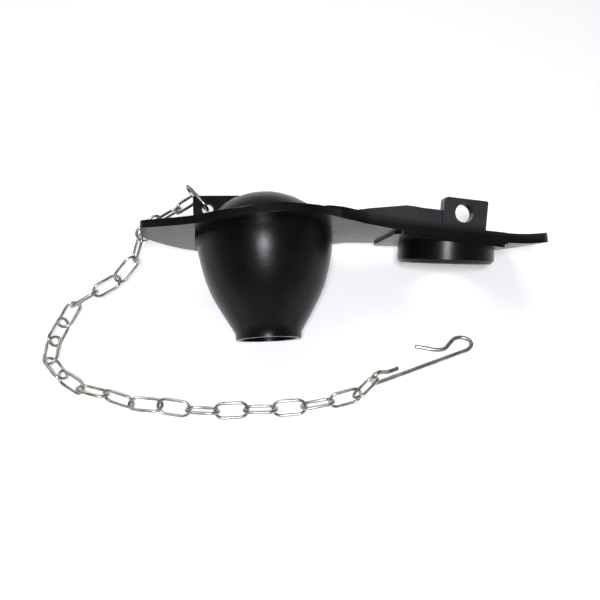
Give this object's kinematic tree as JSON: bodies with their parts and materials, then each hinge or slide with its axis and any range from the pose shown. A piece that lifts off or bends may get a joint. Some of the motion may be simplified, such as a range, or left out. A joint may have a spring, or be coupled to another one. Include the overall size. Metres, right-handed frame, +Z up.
{
  "type": "toilet flapper",
  "caption": "Rubber toilet flapper with a hollow bulb, a plate with two peg ears, a tube collar and a rear tab, on a wire link chain that ends in a lever hook.",
  "frame": {"origin": "middle of the footprint, on the surface that the flapper lies on", "axes": "+X from the chain end towards the rear tab, +Y from the open bulb rim towards the dome side, +Z up from the surface"},
  "size_m": [0.1974, 0.0932, 0.0635],
  "materials": {
    "rubber": "satin black moulded rubber",
    "steel_wire": "polished stainless wire"
  },
  "bodies": {
    "root": {"flapper_body": "rubber", "chain_link_01": "steel_wire", "chain_link_02": "steel_wire", "chain_link_03": "steel_wire", "chain_link_04": "steel_wire", "chain_link_05": "steel_wire", "chain_link_06": "steel_wire", "chain_link_07": "steel_wire", "chain_link_08": "steel_wire", "chain_link_09": "steel_wire", "chain_link_10": "steel_wire", "chain_link_11": "steel_wire", "chain_link_12": "steel_wire", "chain_link_13": "steel_wire", "chain_link_14": "steel_wire", "chain_link_15": "steel_wire", "chain_link_16": "steel_wire", "chain_link_17": "steel_wire", "chain_link_18": "steel_wire", "chain_link_19": "steel_wire", "chain_link_20": "steel_wire", "chain_link_21": "steel_wire", "chain_link_22": "steel_wire", "chain_link_23": "steel_wire", "chain_link_24": "steel_wire", "lever_hook": "steel_wire"}
  },
  "joints": []
}
